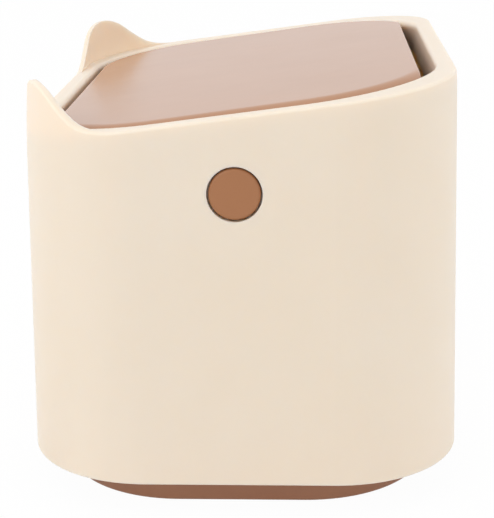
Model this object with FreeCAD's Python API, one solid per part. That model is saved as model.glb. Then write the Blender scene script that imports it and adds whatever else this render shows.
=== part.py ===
import FreeCAD
import Part
import math
import os

# Small cat-eared waste bin with a swing lid, in millimetres.
# A drafted outer shell with ears lifts off an inner bucket. Its walls are straight up to a crown, which leads
# them inwards along an arc under the rim and up through the ears. The rim's lip turns down round the opening,
# with room for the lid's swing. The lid hangs in the shell on two pivot discs and is kept level with the
# sloping rim by steel weights under the pivots.
# +X runs to the high end of the rim, +Y across from flank to flank, +Z up.
# The origin is on the floor under the middle of the bin.

# Outer shell
rim_half_width = 70.0
rim_half_depth = 97.1
rim_corner_radius = 39.4
rim_height = 130.3
rim_slope_deg = 7.11
draft_deg = 1.05
end_crown_radius = 450.0
side_crown_radius = 180.0
crown_drop = 12.0
crown_levels = 5
shell_wall = 2.0
shell_edge_height = 10.9
shell_edge_round = 0.6
lip_low_end_width = 6.8
lip_high_end_width = 6.0
lip_side_width = 7.8
lip_thickness = 2.2
lip_depth = 12.0
lip_round = 1.6
lip_low_end_relief = 1.0
lip_corner_relief = 13.0
rim_round = 0.9
opening_low_corner_radius = 38.0
opening_high_corner_radius = 44.0

# Ears, measured above the rim plane and along the wall on both sides of the tip
ear_height = 15.4
ear_tip_radius = 21.9
ear_end_foot_radius = 24.0
ear_side_foot_radius = 16.5
ear_end_slope_deg = 38.2
ear_side_slope_deg = 40.3
ear_bearing_deg = 23.5

# Ribs inside the shell that stand on the bucket's rim
rib_thickness = 2.0
rib_setback = 2.9
end_rib_spacing = 60.0
side_rib_spacing = 76.0

# Inner bucket
foot_inset = 10.6
foot_corner_radius = 41.0
foot_round = 1.0
bucket_wall = 1.6
bucket_floor = 2.0
bucket_rim_drop = 38.6
bucket_flange_width = 1.7
bucket_flange_thickness = 1.6
bucket_clearance = 0.4
pad_radius = 6.0
pad_thickness = 1.3
pad_proud = 0.6
pad_inset = 18.0
pad_clearance = 0.2

# Lid panel
lid_wall = 1.8
lid_skirt = 8.0
lid_edge_radius = 4.0
lid_proud = 0.3
lid_tilt_deg = 0.5
lid_side_gap = 1.0
lid_high_end_gap = 5.8
lid_end_round = 1.0

# Pivots
pivot_drop = 23.75
disc_radius = 8.1
disc_gap = 0.55
disc_thickness = 3.0
disc_round = 1.0
disc_recess = 0.15
disc_end_play = 0.2
journal_radius = 6.0
journal_clearance = 0.05
collar_radius = 10.5
spigot_radius = 4.5
spigot_flat_share = 0.7
spigot_clearance = 0.1

# Lid arms and their weights
arm_thickness = 3.0
arm_skirt_gap = 0.6
arm_collar_gap = 0.6
arm_flange_drop = 7.0
arm_flange_depth = 12.0
arm_flange_length = 42.0
arm_flange_thickness = 2.4
hub_radius = 9.5
weight_drop = 32.0
weight_radius = 11.5
weight_thickness = 6.0
weight_clearance = 0.2
pocket_wall = 1.6
post_radius = 3.2
cover_thickness = 1.5

# Screws
screw_radius = 1.25
screw_head_radius = 2.6
screw_head_height = 1.6
screw_clearance = 0.05
screw_slot_width = 0.7
screw_bite = 5.0
boss_radius = 3.2
boss_end_distance = 4.0

# Densities in grams per cubic millimetre, for the lid's balance
plastic_density = 0.0011
steel_density = 0.00785

# Length by which cutting bodies pass the faces they cut
overrun = 1.0

# Edges closer to upright than this are seams of the ears' outer faces, not their tops
upright_limit_deg = 25.0

# Sizes that follow from those above
draft_rate = math.tan(math.radians(draft_deg))
slope_sine = math.sin(math.radians(rim_slope_deg))
slope_cosine = math.cos(math.radians(rim_slope_deg))
slope_rate = slope_sine / slope_cosine
opening_low_end = lip_low_end_width - rim_half_width
opening_high_end = rim_half_width - lip_high_end_width
opening_half_depth = rim_half_depth - lip_side_width
lid_high_end = (opening_high_end - lid_high_end_gap) / slope_cosine
boss_spacing = arm_flange_length - 2 * boss_end_distance
axis_height = rim_height - pivot_drop
bucket_rim_height = rim_height - bucket_rim_drop
ear_top_lift = (ear_height + overrun) / slope_cosine
reach = 2 * (rim_half_width + rim_half_depth + rim_height)
near = Part.Precision.confusion() * reach
Vector = FreeCAD.Vector
ALONG_X = Vector(1, 0, 0)
ALONG_Y = Vector(0, 1, 0)
ALONG_Z = Vector(0, 0, 1)
ORIGIN = Vector(0, 0, 0)
rim_frame = FreeCAD.Placement(Vector(0, 0, rim_height), FreeCAD.Rotation(ALONG_Y, -rim_slope_deg))
lid_turn = FreeCAD.Placement(ORIGIN, FreeCAD.Rotation(ALONG_Y, -lid_tilt_deg), Vector(0, 0, axis_height))
lid_frame = lid_turn.multiply(rim_frame)


def draft_offset(height):
    """How far the shell's straight outer faces stand out from the rim's size."""
    return draft_rate * (rim_height - height)


def crown_offset(crown_radius, lift):
    """How far crowned upper faces stand out from the rim's size, at a height straight over the rim plane."""
    rise = max(lift + crown_drop, 0)
    return math.sqrt(crown_radius ** 2 - rise ** 2) - crown_radius - draft_rate * lift


def rounded_outline(corners):
    """Closed wire round corner points, each with its own radius, in turn."""
    arcs = []
    starts = []
    ends = []
    for turn, (corner, radius) in enumerate(corners):
        back = (corners[turn - 1][0] - corner).normalize()
        ahead = (corners[(turn + 1) % len(corners)][0] - corner).normalize()
        half_angle = back.getAngle(ahead) / 2
        inward = (back + ahead).normalize()
        tangent = radius / math.tan(half_angle)
        starts.append(corner + back * tangent)
        ends.append(corner + ahead * tangent)
        middle = corner + inward * (radius / math.sin(half_angle) - radius)
        arcs.append(Part.Arc(starts[turn], middle, ends[turn]).toShape())
    edges = []
    for turn, arc in enumerate(arcs):
        edges.append(arc)
        following = starts[(turn + 1) % len(corners)]
        if ends[turn].distanceToPoint(following) > near:
            edges.append(Part.LineSegment(ends[turn], following).toShape())
    return Part.Wire(edges)


def rounded_rectangle(half_x, half_y, radius, height):
    """Closed wire of four sides and four equal corner arcs, at one height."""
    signs = [(1, -1), (1, 1), (-1, 1), (-1, -1)]
    return rounded_outline([(Vector(x * half_x, y * half_y, height), radius) for x, y in signs])


def mouth_outline(stretch, gap, height, relief_share=0):
    """The opening's outline, stretched along X, moved in by a gap and relieved for the lid's swing."""
    low = stretch * opening_low_end + gap - relief_share * lip_low_end_relief
    high = stretch * opening_high_end - gap
    half = opening_half_depth - gap
    less = gap + relief_share * lip_corner_relief
    low_radius = opening_low_corner_radius - less
    high_radius = opening_high_corner_radius - less
    return rounded_outline([
        (Vector(high, -half, height), high_radius),
        (Vector(high, half, height), high_radius),
        (Vector(low, half, height), low_radius),
        (Vector(low, -half, height), low_radius),
    ])


def grown_outline(grow, corner_radius, height):
    """The rim's outline, grown all round, at one height."""
    return rounded_rectangle(rim_half_width + grow, rim_half_depth + grow, corner_radius + grow, height)


def crown_size(lift):
    """Half sizes and corner radius of the crowned outline, at a height straight over the rim plane."""
    end_grow = crown_offset(end_crown_radius, lift)
    side_grow = crown_offset(side_crown_radius, lift)
    corner_radius = rim_corner_radius + (end_grow + side_grow) / 2
    return rim_half_width + end_grow, rim_half_depth + side_grow, corner_radius


def tilted(outline, lift):
    """A level outline moved up to the rim and tilted with it."""
    tilt = FreeCAD.Matrix()
    tilt.A31 = slope_rate
    tilt.A34 = rim_height + lift
    return outline.transformGeometry(tilt)


def crown_outline(inset, lift):
    """The crowned outline, moved in by an inset and tilted with the rim."""
    sizes = [size - inset for size in crown_size(lift)]
    return tilted(rounded_rectangle(*sizes, 0), lift)


def sleeve_block(inset, low):
    """Solid inside the shell's outer faces, moved in by an inset: straight at first, then crowned."""
    foot = grown_outline(draft_offset(low) - inset, rim_corner_radius, low)
    crown = []
    for level in range(crown_levels + 1):
        lift = (crown_drop + ear_top_lift) * level / crown_levels - crown_drop
        crown.append(crown_outline(inset, lift))
    straight = Part.makeLoft([foot, crown[0]], True, True)
    return straight.fuse(Part.makeLoft(crown, True, False))


def block(low, high):
    """Box between two corners."""
    size = high - low
    return Part.makeBox(size.x, size.y, size.z, low)


def rim_slab(low, high):
    """Wide slab parallel to the rim, between two heights over the rim plane."""
    slab = block(Vector(-reach, -reach, low), Vector(reach, reach, high))
    slab.Placement = rim_frame
    return slab


def rod(radius, start, end):
    """Solid cylinder from one point to another."""
    along = end - start
    return Part.makeCylinder(radius, along.Length, start, along)


def pivot_point(across):
    """Point on the pivots' common axis."""
    return Vector(0, across, axis_height)


def flank_place(height):
    """Y of the far flank's outer face at a height."""
    return rim_half_depth + draft_offset(height)


def chosen_edges(shape, wanted):
    """Edges of a shape whose middle point and direction there pass a test."""
    found = []
    for edge in shape.Edges:
        if edge.Length < near:
            continue
        middle = edge.getParameterByLength(edge.Length / 2)
        if wanted(edge.valueAt(middle), edge.tangentAt(middle)):
            found.append(edge)
    return found


def over_rim(point):
    """A point's height over the sloping rim plane."""
    return rim_frame.inverse().multVec(point).z


def straight_over_rim(point):
    """A point's height over the rim plane, measured straight up."""
    return point.z - rim_height - slope_rate * point.x


def outside_by(point, half_x, half_y, radius):
    """How far a point lies outside a rounded rectangle."""
    past_x = abs(point.x) - (half_x - radius)
    past_y = abs(point.y) - (half_y - radius)
    corner = math.hypot(max(past_x, 0), max(past_y, 0))
    return corner + min(max(past_x, past_y), 0) - radius


def ear_side(slope_deg, foot_radius, sign):
    """Tip end, foot top, foot middle and foot end of one side of the ear's outline."""
    slope = math.radians(slope_deg)
    tip_end = Vector(ear_tip_radius * math.sin(slope), ear_height - ear_tip_radius * (1 - math.cos(slope)), 0)
    foot_corner = tip_end.x + tip_end.y / math.tan(slope)
    tangent = foot_radius * math.tan(slope / 2)
    foot_end = Vector(foot_corner + tangent, 0, 0)
    foot_top = Vector(foot_corner - tangent * math.cos(slope), tangent * math.sin(slope), 0)
    foot_middle = foot_end + Vector(-math.sin(slope / 2), 1 - math.cos(slope / 2), 0) * foot_radius
    places = []
    for place in (tip_end, foot_top, foot_middle, foot_end):
        places.append(Vector(sign * place.x, place.y, 0))
    return places


def ear_prism(side):
    """Ear outline with a rounded tip and eased feet, pushed along its bearing through the corner wall."""
    end_tip, end_top, end_middle, end_foot = ear_side(ear_end_slope_deg, ear_end_foot_radius, -1)
    side_tip, side_top, side_middle, side_foot = ear_side(ear_side_slope_deg, ear_side_foot_radius, 1)
    root = Vector(0, -lip_thickness, 0)
    outline = [
        Part.LineSegment(end_foot + root, end_foot).toShape(),
        Part.Arc(end_foot, end_middle, end_top).toShape(),
        Part.LineSegment(end_top, end_tip).toShape(),
        Part.Arc(end_tip, Vector(0, ear_height, 0), side_tip).toShape(),
        Part.LineSegment(side_tip, side_top).toShape(),
        Part.Arc(side_top, side_middle, side_foot).toShape(),
        Part.LineSegment(side_foot, side_foot + root).toShape(),
        Part.LineSegment(side_foot + root, end_foot + root).toShape(),
    ]
    ear = Part.Face(Part.Wire(outline)).extrude(Vector(0, 0, -rim_half_width))
    bearing = math.radians(ear_bearing_deg)
    along = Vector(math.sin(bearing), math.cos(bearing), 0)
    turn = FreeCAD.Rotation(along, ALONG_Z, along.cross(ALONG_Z), "XYZ")
    corner = Vector(rim_corner_radius - rim_half_width, rim_half_depth - rim_corner_radius, 0)
    ear.Placement = FreeCAD.Placement(corner, turn)
    if side < 0:
        ear = ear.mirror(ORIGIN, ALONG_Y)
    ear.Placement = rim_frame.multiply(ear.Placement)
    return ear


def inner_half():
    """Solid that holds the shell's hollow and the inner half of its wall."""
    return sleeve_block(shell_wall / 2, shell_edge_height)


def shell_ribs():
    """Ribs under the lip that stand on the bucket's rim, two on each end and each flank."""
    within = inner_half().common(rim_slab(-reach, -lip_thickness / 2))
    half = rib_thickness / 2
    ribs = []
    wall_top = rim_height + slope_rate * rim_half_width
    for place in (-end_rib_spacing / 2, end_rib_spacing / 2):
        low = Vector(opening_high_end + rib_setback, place - half, bucket_rim_height)
        ribs.append(block(low, Vector(rim_half_width + shell_wall, place + half, wall_top)))
        low = Vector(-rim_half_width - shell_wall, place - half, bucket_rim_height)
        ribs.append(block(low, Vector(opening_low_end - rib_setback, place + half, wall_top)))
    for place in (-side_rib_spacing / 2, side_rib_spacing / 2):
        low = Vector(place - half, opening_half_depth + rib_setback, bucket_rim_height)
        rib = block(low, Vector(place + half, rim_half_depth + shell_wall, wall_top))
        ribs += [rib, rib.mirror(ORIGIN, ALONG_Y)]
    return [rib.common(within) for rib in ribs]


def arm_face():
    """Y of the far arm's outer face, just inside the lid's skirt."""
    return opening_half_depth - lid_side_gap - lid_wall - arm_skirt_gap


def disc_face():
    """Y of the far pivot disc's outer face."""
    return flank_place(axis_height) - disc_recess


def rounded_rim(body):
    """Shell with its top edge, ears included, its mouth and its lower edge rounded."""
    def on_top(point, way):
        outer = abs(outside_by(point, *crown_size(straight_over_rim(point)))) < shell_wall / 2
        return outer and over_rim(point) > -near and abs(way.z) < math.cos(math.radians(upright_limit_deg))

    def on_mouth(point, way):
        return abs(over_rim(point)) < near and outside_by(point, *crown_size(0)) < -lip_high_end_width / 2

    def on_lower_edge(point, way):
        grow = draft_offset(shell_edge_height)
        sizes = (rim_half_width + grow, rim_half_depth + grow, rim_corner_radius + grow)
        return abs(point.z - shell_edge_height) < near and abs(outside_by(point, *sizes)) < shell_wall / 2

    for radius, test in ((rim_round, on_top), (lip_round, on_mouth), (shell_edge_round, on_lower_edge)):
        body = body.makeFillet(radius, chosen_edges(body, test))
    return body


def mouth_block(gap, depth):
    """Solid that fills the opening but for a gap, from a depth to over the rim: relieved, then straight."""
    mouth = mouth_outline(1, gap, 0)
    relieved = tilted(mouth_outline(1, gap, 0, 1), -depth)
    lower = Part.makeLoft([relieved, tilted(mouth, -lip_thickness)], True, True)
    upper = Part.makeLoft([tilted(mouth, -lip_thickness), tilted(mouth, lip_thickness)], True, True)
    return lower.fuse(upper)


def outer_shell():
    """Drafted, crowned sleeve with a sloping lipped rim, two ears, ribs and two pivot collars."""
    outside = sleeve_block(0, shell_edge_height)
    inside = sleeve_block(shell_wall, shell_edge_height - overrun)
    body = outside.common(rim_slab(-reach, 0))
    hollow = inside.common(rim_slab(-reach, -lip_thickness * slope_cosine))
    body = body.cut(hollow.cut(mouth_block(-shell_wall, lip_depth)))
    body = body.cut(mouth_block(0, lip_depth + overrun))
    tall_wall = outside.cut(inside)
    body = body.fuse([tall_wall.common(ear_prism(side)) for side in (-1, 1)]).removeSplitter()
    body = rounded_rim(body).fuse(shell_ribs())
    collar_end = arm_face() + arm_collar_gap
    seat = disc_face() - disc_thickness - disc_end_play
    past = flank_place(axis_height) + overrun
    for sign in (-1, 1):
        collar = rod(collar_radius, pivot_point(sign * collar_end), pivot_point(sign * past))
        body = body.fuse(collar.common(inner_half()))
        inner_end = pivot_point(sign * (collar_end - overrun))
        body = body.cut(rod(journal_radius + journal_clearance, inner_end, pivot_point(sign * past)))
        body = body.cut(rod(disc_radius + disc_gap, pivot_point(sign * seat), pivot_point(sign * past)))
    return body.removeSplitter()


def bucket_shape(inset, low, high):
    """Tapered solid between the foot's outline on the floor and the bucket's wall at its rim."""
    top_grow = draft_offset(bucket_rim_height) - shell_wall - bucket_clearance - bucket_flange_width
    floor_grow = draft_offset(0) - foot_inset
    foot_corner = foot_corner_radius - floor_grow
    wires = []
    for height in (low, high):
        height_share = height / bucket_rim_height
        grow = floor_grow + (top_grow - floor_grow) * height_share - inset
        corner = foot_corner + (rim_corner_radius - foot_corner) * height_share
        wires.append(grown_outline(grow, corner, height))
    return Part.makeLoft(wires, True, True)


def pad_places():
    """Centres of the four pads, set in from the foot's sides."""
    half_x = rim_half_width + draft_offset(0) - foot_inset - pad_inset
    half_y = rim_half_depth + draft_offset(0) - foot_inset - pad_inset
    return [Vector(sign_x * half_x, sign_y * half_y, 0) for sign_x in (-1, 1) for sign_y in (-1, 1)]


def inner_bucket():
    """Open bucket with a flange that fits inside the shell and recesses for its pads."""
    body = bucket_shape(0, pad_proud, bucket_rim_height)
    lower = chosen_edges(body, lambda point, way: abs(point.z - pad_proud) < near)
    body = body.makeFillet(foot_round, lower)
    flange_low = bucket_rim_height - bucket_flange_thickness
    grow = draft_offset(bucket_rim_height) - shell_wall - bucket_clearance
    flange = Part.Face(grown_outline(grow, rim_corner_radius, flange_low))
    body = body.fuse(flange.extrude(Vector(0, 0, bucket_flange_thickness)))
    body = body.cut(bucket_shape(bucket_wall, pad_proud + bucket_floor, bucket_rim_height + overrun))
    for place in pad_places():
        body = body.cut(rod(pad_radius + pad_clearance, place, place + Vector(0, 0, pad_thickness)))
    return body.removeSplitter()


def foot_pad(place):
    """Flat rubber pad with a rounded lower edge."""
    pad = rod(pad_radius, place, place + Vector(0, 0, pad_thickness))
    lower = chosen_edges(pad, lambda point, way: abs(point.z) < near and abs(way.z) < near
                         and abs(math.hypot(point.x - place.x, point.y - place.y) - pad_radius) < near)
    return pad.makeFillet(pad_proud / 2, lower)


def lid_cap(inset, edge_radius, bottom):
    """Cap in the lid's frame: the opening's outline set in, rounded over and cut straight at the high end."""
    top = lid_proud - inset
    outline = mouth_outline(1 / slope_cosine, lid_side_gap + inset, bottom)
    body = Part.Face(outline).extrude(Vector(0, 0, top - bottom))
    body = body.makeFillet(edge_radius, chosen_edges(body, lambda point, way: abs(point.z - top) < near))
    kept = block(Vector(-reach, -reach, bottom - overrun), Vector(lid_high_end - inset, reach, top + overrun))
    return body.common(kept)


def lid_outside():
    """The lid's outer faces, with the straight end's edge eased."""
    bottom = lid_proud - lid_skirt

    def on_end(point, way):
        return abs(point.x - lid_high_end) < near and point.z > bottom + near

    body = lid_cap(0, lid_edge_radius, bottom)
    return body.makeFillet(lid_end_round, chosen_edges(body, on_end))


def boss_places():
    """Middles of the far arm's two screw bosses, in the lid's frame."""
    across = arm_face() - arm_thickness - arm_flange_depth / 2
    middle = -pivot_drop * slope_sine
    return [Vector(middle + sign * boss_spacing / 2, across, 0) for sign in (-1, 1)]


def flange_top():
    """Height of the arm flanges in the lid's frame."""
    return lid_proud - arm_flange_drop


def lid_panel():
    """Shallow cap with rounded-over edges, a straight high end and four screw bosses under it."""
    body = lid_outside()
    body = body.cut(lid_cap(lid_wall, lid_edge_radius - lid_wall, lid_proud - lid_skirt - overrun))
    for place in boss_places():
        low = place + Vector(0, 0, flange_top())
        high = place + Vector(0, 0, lid_proud - lid_wall / 2)
        boss = rod(boss_radius, low, high)
        pilot_top = low + Vector(0, 0, screw_bite)
        boss = boss.cut(rod(screw_radius + screw_clearance, low, pilot_top))
        body = body.fuse([boss, boss.mirror(ORIGIN, ALONG_Y)])
    body = body.removeSplitter()
    body.Placement = lid_frame
    return body


def tapered_link(first, first_radius, second, second_radius, low, high):
    """Flat bar in the XZ plane that wraps two circles, between two places along Y."""
    along = second - first
    across = math.acos((first_radius - second_radius) / along.Length)
    heading = math.atan2(along.z, along.x)
    corners = []
    for centre, radius, signs in ((first, first_radius, (1, -1)), (second, second_radius, (-1, 1))):
        for sign in signs:
            angle = heading + sign * across
            outward = Vector(math.cos(angle), 0, math.sin(angle))
            corners.append(Vector(centre.x, low, centre.z) + outward * radius)
    web = Part.Face(Part.makePolygon(corners + corners[:1])).extrude(Vector(0, high - low, 0))
    rounds = []
    for centre, radius in ((first, first_radius), (second, second_radius)):
        rounds.append(rod(radius, Vector(centre.x, low, centre.z), Vector(centre.x, high, centre.z)))
    return web.fuse(rounds)


def pocket_radius():
    """Outer radius of the pocket that holds a weight."""
    return weight_radius + weight_clearance + pocket_wall


def spigot(radius, start, end):
    """D-shaped stub that turns the pivot disc with its arm."""
    flat = spigot_flat_share * spigot_radius + radius - spigot_radius
    low = Vector(-reach, start - overrun, axis_height - reach)
    high = Vector(reach, end + overrun, axis_height + flat)
    return rod(radius, pivot_point(start), pivot_point(end)).common(block(low, high))


def weight_point(offset, across):
    """Point on the axis of the weights."""
    return Vector(offset, across, axis_height - weight_drop)


def plate_face():
    """Y of the far arm's inner face."""
    return arm_face() - arm_thickness


def cover_face():
    """Y of the far cover's face that closes the pocket."""
    return plate_face() - weight_thickness - weight_clearance


def arm_flange():
    """Far arm's flange under the panel, with its screw holes."""
    middle = -pivot_drop * slope_sine
    half = arm_flange_length / 2
    low = flange_top() - arm_flange_thickness
    flange = block(Vector(middle - half, plate_face() - arm_flange_depth, low),
                   Vector(middle + half, arm_face(), flange_top()))
    for place in boss_places():
        start = Vector(place.x, place.y, low - overrun)
        end = Vector(place.x, place.y, flange_top() + overrun)
        flange = flange.cut(rod(screw_radius + screw_clearance, start, end))
    flange.Placement = lid_frame
    return flange


def arm_web():
    """Plate of the far arm between its flange and its hub."""
    middle = -pivot_drop * slope_sine
    corners = []
    for sign in (-1, 1):
        end = middle + sign * arm_flange_length / 2
        corners.append(lid_frame.multVec(Vector(end, plate_face(), flange_top() - arm_flange_thickness / 2)))
    for sign in (1, -1):
        corners.append(pivot_point(plate_face()) + Vector(sign * hub_radius, 0, 0))
    return Part.Face(Part.makePolygon(corners + corners[:1])).extrude(Vector(0, arm_thickness, 0))


def lid_arm(offset):
    """Far arm: screw flange under the panel, hub on the pivot and a weight pocket set off to one side."""
    outer = arm_face()
    inner = plate_face()
    plate = tapered_link(pivot_point(0), hub_radius, weight_point(offset, 0), pocket_radius(), inner, outer)
    mouth = weight_point(offset, cover_face())
    floor = weight_point(offset, inner)
    pocket = rod(pocket_radius(), mouth, floor).cut(rod(weight_radius + weight_clearance, mouth, floor))
    post = rod(post_radius, mouth, floor)
    body = plate.fuse([arm_web(), arm_flange(), pocket, post])
    body = body.cut(spigot(spigot_radius + spigot_clearance, inner - overrun, outer + overrun))
    pilot = rod(screw_radius + screw_clearance, mouth, mouth + Vector(0, screw_bite, 0))
    return body.cut(pilot).removeSplitter()


def counterweight(offset):
    """Steel ring in the far arm's pocket."""
    start = weight_point(offset, plate_face() - weight_thickness)
    end = weight_point(offset, plate_face())
    return rod(weight_radius, start, end).cut(rod(post_radius + weight_clearance, start, end))


def weight_cover(offset):
    """Round cover over the far weight pocket, with a screw hole."""
    start = weight_point(offset, cover_face() - cover_thickness)
    end = weight_point(offset, cover_face())
    return rod(pocket_radius(), start, end).cut(rod(screw_radius + screw_clearance, start, end))


def pivot_disc():
    """Far pivot: flush round head, journal in the shell's collar and D-shaped stub in the arm."""
    face = disc_face()
    head_back = face - disc_thickness
    body = rod(disc_radius, pivot_point(head_back), pivot_point(face))
    rim = chosen_edges(body, lambda point, way: abs(point.y - face) < near and abs(way.y) < near)
    body = body.makeFillet(disc_round, rim)
    journal = rod(journal_radius, pivot_point(arm_face()), pivot_point(head_back))
    stub = spigot(spigot_radius, plate_face() + disc_end_play, arm_face())
    body = body.fuse([journal, stub])
    core_end = pivot_point(arm_face() + screw_bite)
    core = rod(screw_radius + screw_clearance, pivot_point(plate_face()), core_end)
    return body.cut(core).removeSplitter()


def screw(seat, way, length):
    """Pan-head screw with a cross recess: its head stands on the seat and its shank runs along the way."""
    shank = rod(screw_radius, seat, seat + way * length)
    head = rod(screw_head_radius, seat - way * screw_head_height, seat)
    body = shank.fuse(head)
    slot_low = Vector(-screw_head_radius / 2, -screw_slot_width / 2, -screw_head_height - overrun)
    slot_high = Vector(screw_head_radius / 2, screw_slot_width / 2, -screw_head_height / 2)
    frame = FreeCAD.Placement(seat, FreeCAD.Rotation(ALONG_Z, way))
    for angle in (0, 90):
        slot = block(slot_low, slot_high)
        slot.Placement = frame.multiply(FreeCAD.Placement(ORIGIN, FreeCAD.Rotation(ALONG_Z, angle)))
        body = body.cut(slot)
    return body.removeSplitter()


def arm_screws():
    """Far arm's two screws, up through its flange into the panel's bosses."""
    up = lid_frame.Rotation.multVec(ALONG_Z)
    screws = []
    for place in boss_places():
        seat = lid_frame.multVec(Vector(place.x, place.y, flange_top() - arm_flange_thickness))
        screws.append(screw(seat, up, arm_flange_thickness + screw_bite - overrun))
    return screws


def pivot_screw():
    """Screw that draws the far disc onto its arm."""
    return screw(pivot_point(plate_face()), ALONG_Y, arm_thickness + screw_bite - overrun)


def cover_screw(offset):
    """Screw that holds the far weight cover."""
    seat = weight_point(offset, cover_face() - cover_thickness)
    return screw(seat, ALONG_Y, cover_thickness + screw_bite - overrun)


def moment_along(shape, density):
    """Mass of a shape times the X of its centre."""
    return density * sum(solid.Volume * solid.CenterOfMass.x for solid in shape.Solids)


def tipping_moment(offset, panel):
    """Moment of the lid's pieces about the pivot line, along X, for one place of the weights."""
    moment = moment_along(panel, plastic_density)
    for shape in (lid_arm(offset), weight_cover(offset), pivot_disc()):
        moment += 2 * moment_along(shape, plastic_density)
    for shape in arm_screws() + [counterweight(offset), pivot_screw(), cover_screw(offset)]:
        moment += 2 * moment_along(shape, steel_density)
    return moment


def level_offset(panel):
    """Place of the weights along X at which the lid hangs level with the rim."""
    first = tipping_moment(0, panel)
    second = tipping_moment(weight_radius, panel)
    return weight_radius * first / (first - second)


def near_and_far(name, shape):
    """A far piece and its mirror image, named by side."""
    return {name + "_far": shape, name + "_near": shape.mirror(ORIGIN, ALONG_Y)}


def both_sides(shapes):
    """Compound of far solids and their mirror images."""
    return Part.makeCompound(shapes + [shape.mirror(ORIGIN, ALONG_Y) for shape in shapes])


def build():
    panel = lid_panel()
    offset = level_offset(panel)
    pieces = {"outer_shell": outer_shell(), "inner_bucket": inner_bucket(), "lid_panel": panel}
    for number, place in enumerate(pad_places(), 1):
        pieces["foot_pad_%d" % number] = foot_pad(place)
    pieces.update(near_and_far("lid_arm", lid_arm(offset)))
    pieces.update(near_and_far("pivot_disc", pivot_disc()))
    pieces.update(near_and_far("counterweight", counterweight(offset)))
    pieces.update(near_and_far("weight_cover", weight_cover(offset)))
    pieces["arm_screws"] = both_sides(arm_screws())
    pieces["pivot_screws"] = both_sides([pivot_screw()])
    pieces["cover_screws"] = both_sides([cover_screw(offset)])
    print("weights stand %.2f mm off the pivots" % offset)
    return pieces


os.makedirs("parts", exist_ok=True)
for node, piece in build().items():
    print(node, len(piece.Solids), "solids", round(piece.Volume / 1000, 2), "cm3", piece.isValid())
    piece.exportStep("parts/%s.step" % node)
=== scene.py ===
import math
from collections import namedtuple

import bpy
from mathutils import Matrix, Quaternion, Vector


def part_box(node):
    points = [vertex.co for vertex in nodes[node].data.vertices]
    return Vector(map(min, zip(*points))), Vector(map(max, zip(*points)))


# Small cat-eared waste bin with a swing lid: its finishes, a soft studio and the camera, in metres.
# +X runs to the high end of the rim, +Y away from the near flank, +Z up.

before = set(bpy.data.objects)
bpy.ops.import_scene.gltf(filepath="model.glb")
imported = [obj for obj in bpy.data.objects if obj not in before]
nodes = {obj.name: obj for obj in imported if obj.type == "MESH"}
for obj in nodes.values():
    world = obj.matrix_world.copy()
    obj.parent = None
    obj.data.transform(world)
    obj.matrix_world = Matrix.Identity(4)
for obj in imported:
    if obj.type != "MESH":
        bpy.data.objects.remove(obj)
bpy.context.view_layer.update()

# Camera: bearing round the bin, rise over the floor, roll, and the frame of the picture
camera_bearing_deg = 2.814
camera_rise_deg = 15.892
camera_roll_deg = -0.818
camera_distance = 0.5395
aim_height = 0.0653
focal_px = 1432.0
frame_size_px = (494, 518)
aim_px = (250.75, 237.59)
sensor_mm = 36.0

# Lamps, room and floor
Lamp = namedtuple("Lamp", "bearing_deg rise_deg distance width height radiance")
key_lamp = Lamp(bearing_deg=-62.0, rise_deg=40.0, distance=1.1, width=0.8, height=0.8, radiance=1.36)
fill_lamp = Lamp(bearing_deg=82.0, rise_deg=28.0, distance=1.2, width=0.8, height=0.9, radiance=0.7)
ambient_strength = 0.87
floor_size = 8.0
floor_roughness = 0.9
floor_colour = (0.93, 0.93, 0.93, 1)
floor_white_share = 0.97
white = (1, 1, 1, 1)

# Looks: two linear colours that drift into each other, the roughness, and the depth of the surface grain
Look = namedtuple("Look", "pale deep roughness grain_depth")
cream_look = Look((0.905, 0.775, 0.65, 1), (0.89, 0.755, 0.62, 1), 0.40, 0.000012)
lid_look = Look((0.50, 0.27, 0.16, 1), (0.47, 0.25, 0.145, 1), 0.20, 0.000004)
disc_look = Look((0.375, 0.155, 0.06, 1), (0.36, 0.145, 0.054, 1), 0.30, 0.000006)
bucket_look = Look((0.40, 0.18, 0.095, 1), (0.38, 0.165, 0.085, 1), 0.42, 0.000010)
rubber_look = Look((0.022, 0.021, 0.020, 1), (0.045, 0.043, 0.040, 1), 0.72, 0.00003)
steel_look = Look((0.52, 0.52, 0.51, 1), (0.36, 0.36, 0.35, 1), 0.34, 0.000004)
zinc_look = Look((0.66, 0.67, 0.68, 1), (0.52, 0.53, 0.54, 1), 0.26, 0.000006)

# Light that passes through the cream plastic: how much, how far for red, green and blue, and the depth
cream_glow_share = 0.8
cream_glow_spread_shares = (0.9, 0.82, 0.7)
cream_glow_depth = 0.003

# Noise patterns: repeats to a metre along X, Y and Z, octaves, and the weight of each further octave
Pattern = namedtuple("Pattern", "per_metre octaves octave_share")
drift_pattern = Pattern((22.0, 22.0, 22.0), 3.0, 0.5)
grain_pattern = Pattern((2400.0, 2400.0, 2400.0), 3.0, 0.6)
smear_pattern = Pattern((70.0, 70.0, 70.0), 4.0, 0.6)
hairline_pattern = Pattern((25.0, 2600.0, 2600.0), 2.0, 0.5)

# Stretch of each noise over which its pattern fades in
drift_range_shares = (0.3, 0.7)
smear_range_shares = (0.35, 0.7)
hairline_range_shares = (0.66, 0.72)

# How much the patterns add to the roughness
gloss_drift_share = 0.02
hairline_gloss_share = 0.03

# Rings left by the lathe on the weights
turning_pitch = 0.0004
turning_depth = 0.00002


class Value:
    """A number or colour that varies over a surface; sums and products of numbers become Math nodes."""

    def __init__(self, tree, output):
        self.tree = tree
        self.output = output

    def __add__(self, other):
        return self.tree.maths("ADD", self, other)

    def __mul__(self, other):
        return self.tree.maths("MULTIPLY", self, other)

    __radd__ = __add__
    __rmul__ = __mul__


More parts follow.
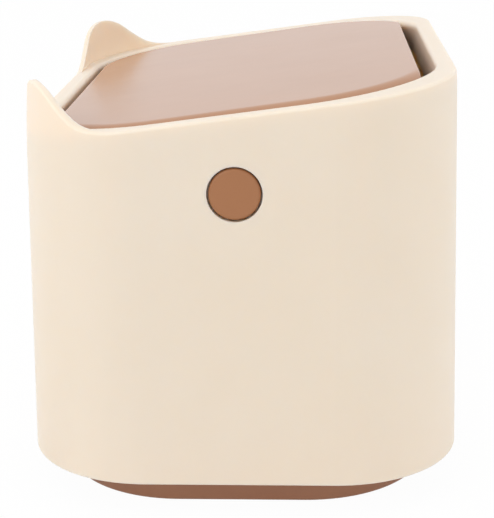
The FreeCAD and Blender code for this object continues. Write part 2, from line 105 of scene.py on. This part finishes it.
class Nodes:
    """A node tree that is filled by code."""

    def __init__(self, tree):
        self.tree = tree

    def node(self, kind, settings, sockets, output=0):
        """Add a node: its type, its settings, what its sockets take, and the output that is used."""
        made = self.tree.nodes.new(kind)
        for name, setting in settings.items():
            setattr(made, name, setting)
        for name, given in sockets.items():
            self.feed(made.inputs[name], given)
        return Value(self, made.outputs[output])

    def feed(self, socket, given):
        if isinstance(given, Value):
            self.tree.links.new(given.output, socket)
        else:
            socket.default_value = given

    def maths(self, operation, *terms):
        return self.node("ShaderNodeMath", {"operation": operation}, dict(enumerate(terms)))

    def vector_maths(self, operation, first, second, output=0):
        return self.node("ShaderNodeVectorMath", {"operation": operation}, {0: first, 1: second}, output)

    def blend(self, share, first, second):
        """Mix of two colours; the node keeps its colour sockets behind those for numbers and vectors."""
        return self.node("ShaderNodeMix", {"data_type": "RGBA"}, {0: share, 6: first, 7: second}, 2)

    def place(self):
        return self.node("ShaderNodeTexCoord", {}, {}, "Object")

    def noise(self, pattern):
        place = self.vector_maths("MULTIPLY", self.place(), pattern.per_metre)
        sockets = {"Vector": place, "Scale": 1, "Detail": pattern.octaves, "Roughness": pattern.octave_share}
        return self.node("ShaderNodeTexNoise", {}, sockets)

    def ramp(self, value, low, high):
        sockets = {"Value": value, "From Min": low, "From Max": high}
        return self.node("ShaderNodeMapRange", {"clamp": True}, sockets)

    def bump(self, height, depth):
        return self.node("ShaderNodeBump", {}, {"Height": height, "Distance": depth})


class Finish(Nodes):
    """A material whose shader takes plain numbers or varying values."""

    def __init__(self, name):
        self.material = bpy.data.materials.new(name)
        self.material.use_nodes = True
        super().__init__(self.material.node_tree)
        self.shader = self.tree.nodes["Principled BSDF"]

    def set(self, sockets):
        for name, given in sockets.items():
            self.feed(self.shader.inputs[name], given)

    def drift(self):
        """Slow change of tone over the surface."""
        return self.ramp(self.noise(drift_pattern), *drift_range_shares)

    def grain(self):
        """Fine grain of the surface."""
        return self.noise(grain_pattern)

    def smear(self):
        """Uneven gloss from handling."""
        return self.ramp(self.noise(smear_pattern), *smear_range_shares)

    def hairlines(self):
        """Thin, long scratches along X."""
        return self.ramp(self.noise(hairline_pattern), *hairline_range_shares)


def grained(name, look, scratches_share=0):
    """Finish with a slow drift in tone, a fine grain, uneven gloss and, where asked for, scratches."""
    finish = Finish(name)
    grain = finish.grain()
    roughness = look.roughness + (finish.smear() + grain) * gloss_drift_share
    if scratches_share:
        roughness = roughness + finish.hairlines() * scratches_share
    finish.set({
        "Base Color": finish.blend(finish.drift(), look.pale, look.deep),
        "Roughness": roughness,
        "Normal": finish.bump(grain, look.grain_depth),
    })
    return finish


def cream_plastic():
    """Pale plastic that lets some light through."""
    finish = grained("cream_plastic", cream_look)
    finish.set({
        "Subsurface Weight": cream_glow_share,
        "Subsurface Radius": cream_glow_spread_shares,
        "Subsurface Scale": cream_glow_depth,
    })
    return finish


def lid_plastic():
    """Polished brown plastic with fine scratches."""
    return grained("lid_plastic", lid_look, hairline_gloss_share)


def disc_plastic():
    return grained("disc_plastic", disc_look)


def bucket_plastic():
    return grained("bucket_plastic", bucket_look)


def pad_rubber():
    return grained("pad_rubber", rubber_look)


def weight_steel():
    """Turned steel: fine rings about the axis on which both weights lie."""
    low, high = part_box("counterweight_near")
    middle = (Vector(low) + Vector(high)) / 2
    level = Vector((1, 0, 1))
    finish = grained("weight_steel", steel_look)
    flat = finish.vector_maths("MULTIPLY", finish.place(), level)
    away = finish.vector_maths("DISTANCE", flat, middle * level, "Value")
    rings = finish.maths("SINE", away * (math.tau / turning_pitch))
    finish.set({"Metallic": 1, "Normal": finish.bump(rings, turning_depth)})
    return finish


def screw_zinc():
    finish = grained("screw_zinc", zinc_look)
    finish.set({"Metallic": 1})
    return finish


def dress(finish, *names):
    """Give CAD nodes a finish."""
    for name in names:
        slots = nodes[name].data.materials
        slots.clear()
        slots.append(finish.material)


def dress_nodes():
    dress(cream_plastic(), "outer_shell")
    dress(lid_plastic(), "lid_panel", "lid_arm_near", "lid_arm_far", "weight_cover_near", "weight_cover_far")
    dress(disc_plastic(), "pivot_disc_near", "pivot_disc_far")
    dress(bucket_plastic(), "inner_bucket")
    dress(pad_rubber(), "foot_pad_1", "foot_pad_2", "foot_pad_3", "foot_pad_4")
    dress(weight_steel(), "counterweight_near", "counterweight_far")
    dress(screw_zinc(), "arm_screws", "pivot_screws", "cover_screws")


def direction(bearing_deg, rise_deg):
    """Unit vector from the bin towards a bearing and a rise; bearing 0 is the near side."""
    bearing = math.radians(bearing_deg)
    rise = math.radians(rise_deg)
    level = math.cos(rise)
    return Vector((math.sin(bearing) * level, -math.cos(bearing) * level, math.sin(rise)))


def face_bin(thing, back, distance):
    """Put a camera or lamp at a distance from the bin and turn it to face it."""
    bpy.context.scene.collection.objects.link(thing)
    thing.location = Vector((0, 0, aim_height)) + back * distance
    thing.rotation_mode = "QUATERNION"
    thing.rotation_quaternion = (-back).to_track_quat("-Z", "Y")


def make_camera():
    data = bpy.data.cameras.new("camera")
    camera = bpy.data.objects.new("camera", data)
    face_bin(camera, direction(camera_bearing_deg, camera_rise_deg), camera_distance)
    camera.rotation_quaternion @= Quaternion((0, 0, 1), math.radians(camera_roll_deg))
    long_side = max(frame_size_px)
    data.sensor_width = sensor_mm
    data.lens = sensor_mm * focal_px / long_side
    data.shift_x = (frame_size_px[0] / 2 - aim_px[0]) / long_side
    data.shift_y = (aim_px[1] - frame_size_px[1] / 2) / long_side
    bpy.context.scene.camera = camera


def soft_lamp(name, lamp):
    """Rectangular soft lamp that faces the bin."""
    data = bpy.data.lights.new(name, "AREA")
    data.shape = "RECTANGLE"
    data.size = lamp.width
    data.size_y = lamp.height
    data.energy = lamp.radiance * math.pi * lamp.width * lamp.height
    made = bpy.data.objects.new(name, data)
    face_bin(made, direction(lamp.bearing_deg, lamp.rise_deg), lamp.distance)
    made.visible_camera = False


def sees_white(tree):
    """1 for rays that look at the room straight or by way of a reflection, 0 for those that only light it."""
    seen = tree.node("ShaderNodeLightPath", {}, {}, "Is Camera Ray")
    for ray in ("Is Glossy Ray", "Is Transmission Ray"):
        seen = tree.maths("MAXIMUM", seen, tree.node("ShaderNodeLightPath", {}, {}, ray))
    return seen


def make_room():
    """White surroundings that light the bin evenly."""
    world = bpy.data.worlds.new("room")
    bpy.context.scene.world = world
    world.use_nodes = True
    tree = Nodes(world.node_tree)
    background = world.node_tree.nodes["Background"]
    tree.feed(background.inputs["Color"], white)
    tree.feed(background.inputs["Strength"], sees_white(tree) * (1 - ambient_strength) + ambient_strength)


def make_floor():
    """Pale floor that keeps the bin's shadow."""
    bpy.ops.mesh.primitive_plane_add(size=floor_size)
    floor = bpy.context.object
    floor.name = "floor"
    finish = Finish("floor_white")
    finish.set({"Base Color": floor_colour, "Roughness": floor_roughness})
    glow = finish.node("ShaderNodeEmission", {}, {"Color": white})
    share = sees_white(finish) * floor_white_share
    surface = Value(finish, finish.shader.outputs["BSDF"])
    mixed = finish.node("ShaderNodeMixShader", {}, {0: share, 1: surface, 2: glow})
    finish.feed(finish.tree.nodes["Material Output"].inputs["Surface"], mixed)
    floor.data.materials.append(finish.material)


dress_nodes()
make_camera()
soft_lamp("key_lamp", key_lamp)
soft_lamp("fill_lamp", fill_lamp)
make_room()
make_floor()
bpy.context.scene.view_settings.view_transform = "Standard"
